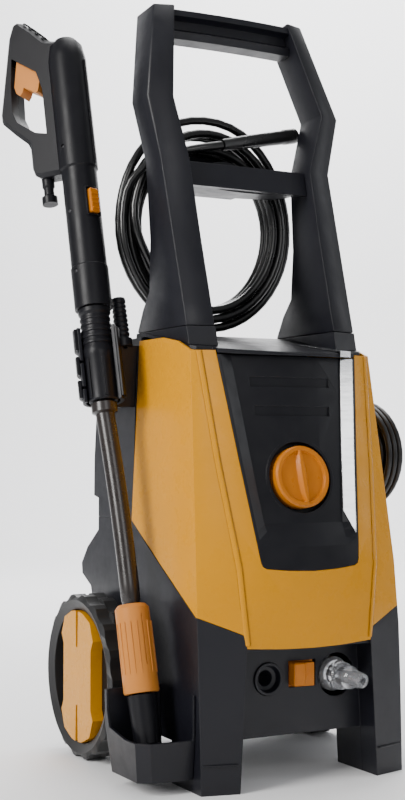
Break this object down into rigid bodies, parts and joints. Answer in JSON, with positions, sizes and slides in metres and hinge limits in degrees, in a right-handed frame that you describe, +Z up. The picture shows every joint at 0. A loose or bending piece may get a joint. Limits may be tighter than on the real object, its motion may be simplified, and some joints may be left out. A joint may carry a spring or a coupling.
{
  "type": "pressure washer",
  "caption": "Upright electric pressure washer on wheels with a tall handle frame, coiled hose, trigger gun with lance in a side holder, power knob and front water fittings.",
  "frame": {"origin": "centre of the footprint box at floor level, measured without the hose and the mains cord", "axes": "+Z up; the front with the knob and fittings faces -Y; the spray gun hangs on the -X side"},
  "size_m": [0.405, 0.3677, 0.8668],
  "materials": {
    "yellow_shell": "satin moulded",
    "black_shell": "fine-textured satin",
    "gun_black": "satin moulded",
    "orange_key": "satin",
    "soft_orange": "soft matt",
    "chrome": "bright",
    "clear_plastic": "clear",
    "tyre_rubber": "moulded tread",
    "black_rubber": "smooth glossy sheath",
    "steel": "turned",
    "cast_alloy": "cast",
    "grey_plastic": "plain"
  },
  "bodies": {
    "base": {"chassis": "black_shell", "front_cover": "yellow_shell", "control_panel": "black_shell", "chrome_trim": "chrome", "chrome_trim_top": "chrome", "top_lid": "black_shell", "rear_cover": "black_shell", "handle_post_left": "black_shell", "handle_post_right": "black_shell", "handle_socket_left": "black_shell", "handle_socket_right": "black_shell", "grip_bar": "black_shell", "crossbar": "black_shell", "axle": "steel", "rotary_switch": "grey_plastic", "outlet_socket": "black_shell", "outlet_pipe": "cast_alloy", "inlet_union": "black_shell", "inlet_pipe": "cast_alloy", "pump_head": "cast_alloy", "pump_mount": "steel", "wobble_housing": "cast_alloy", "motor_stator": "cast_alloy", "capacitor": "grey_plastic", "holder_cup": "black_shell", "lance_clip": "black_shell", "clip_bracket": "black_shell", "cord_hook": "black_shell", "hose_coil": "black_rubber", "hose_tail": "black_rubber", "hose_sleeve": "black_rubber", "hose_plug": "black_rubber", "cord_gland": "black_rubber", "cord_tail": "black_rubber", "cord_hank": "black_rubber", "cord_plug": "black_rubber"},
    "wheel_left": {"tyre_left": "tyre_rubber", "wheel_rim_left": "black_shell", "hub_cover_left": "yellow_shell"},
    "wheel_right": {"tyre_right": "tyre_rubber", "wheel_rim_right": "black_shell", "hub_cover_right": "yellow_shell"},
    "knob": {"power_knob": "orange_key"},
    "rotor": {"motor_rotor": "steel", "motor_fan": "black_shell", "wobble_plate": "steel"},
    "latch": {"hose_latch": "orange_key"},
    "inlet_swivel": {"inlet_collar": "clear_plastic", "inlet_tail": "clear_plastic"},
    "spray_gun": {"gun_shell_front": "gun_black", "gun_shell_back": "gun_black", "gun_valve": "gun_black", "trigger_pin": "steel", "lance_coupling": "gun_black", "lance_tube": "gun_black", "nozzle_tip": "gun_black"},
    "trigger_body": {"trigger": "soft_orange"},
    "button_body": {"lance_button": "orange_key"},
    "sleeve_body": {"nozzle_sleeve": "soft_orange"},
    "spare_body": {"spare_nozzle": "black_shell"}
  },
  "joints": [
    {"name": "wheel_left_spin", "type": "hinge", "parent": "base", "child": "wheel_left", "pos_m": [-0.1225, 0.0716, 0.093], "axis": [1, 0, 0], "continuous": true},
    {"name": "wheel_right_spin", "type": "hinge", "parent": "base", "child": "wheel_right", "pos_m": [0.1755, 0.0716, 0.093], "axis": [1, 0, 0], "continuous": true},
    {"name": "knob_turn", "type": "hinge", "parent": "base", "child": "knob", "pos_m": [0.0265, -0.14217, 0.3225], "axis": [0, 0.9828, -0.1845], "range_deg": [0, 90]},
    {"name": "rotor_spin", "type": "hinge", "parent": "base", "child": "rotor", "pos_m": [0.034, -0.0157, 0.3], "axis": [0, 0, 1], "continuous": true},
    {"name": "latch_slide", "type": "slide", "parent": "base", "child": "latch", "axis": [1, 0, 0], "range_m": [0, 0.0045], "stiffness_N_per_m": 500, "springref_m": -0.003},
    {"name": "inlet_turn", "type": "hinge", "parent": "base", "child": "inlet_swivel", "pos_m": [0.077, -0.1329, 0.1078], "axis": [0, -1, 0], "continuous": true},
    {"name": "gun_lift", "type": "slide", "parent": "base", "child": "spray_gun", "axis": [-0.0014, 0.2544, 0.9671], "range_m": [0, 0.06]},
    {"name": "trigger_pull", "type": "hinge", "parent": "spray_gun", "child": "trigger_body", "pos_m": [-0.15744, 0.13079, 0.79939], "axis": [0.8204, 0.5532, -0.1443], "range_deg": [0, 8], "stiffness_Nm_per_rad": 0.6, "springref_deg": -5.73},
    {"name": "button_press", "type": "slide", "parent": "spray_gun", "child": "button_body", "axis": [-0.1886, 0.9497, -0.2501], "range_m": [0, 0.0025], "stiffness_N_per_m": 600, "springref_m": -0.002},
    {"name": "sleeve_turn", "type": "hinge", "parent": "spray_gun", "child": "sleeve_body", "pos_m": [-0.13336, -0.06996, 0.14313], "axis": [-0.0086, 0.2574, 0.9663], "range_deg": [0, 120]},
    {"name": "spare_lift", "type": "slide", "parent": "base", "child": "spare_body", "axis": [-0.0014, 0.2544, 0.9671], "range_m": [0, 0.04]}
  ]
}
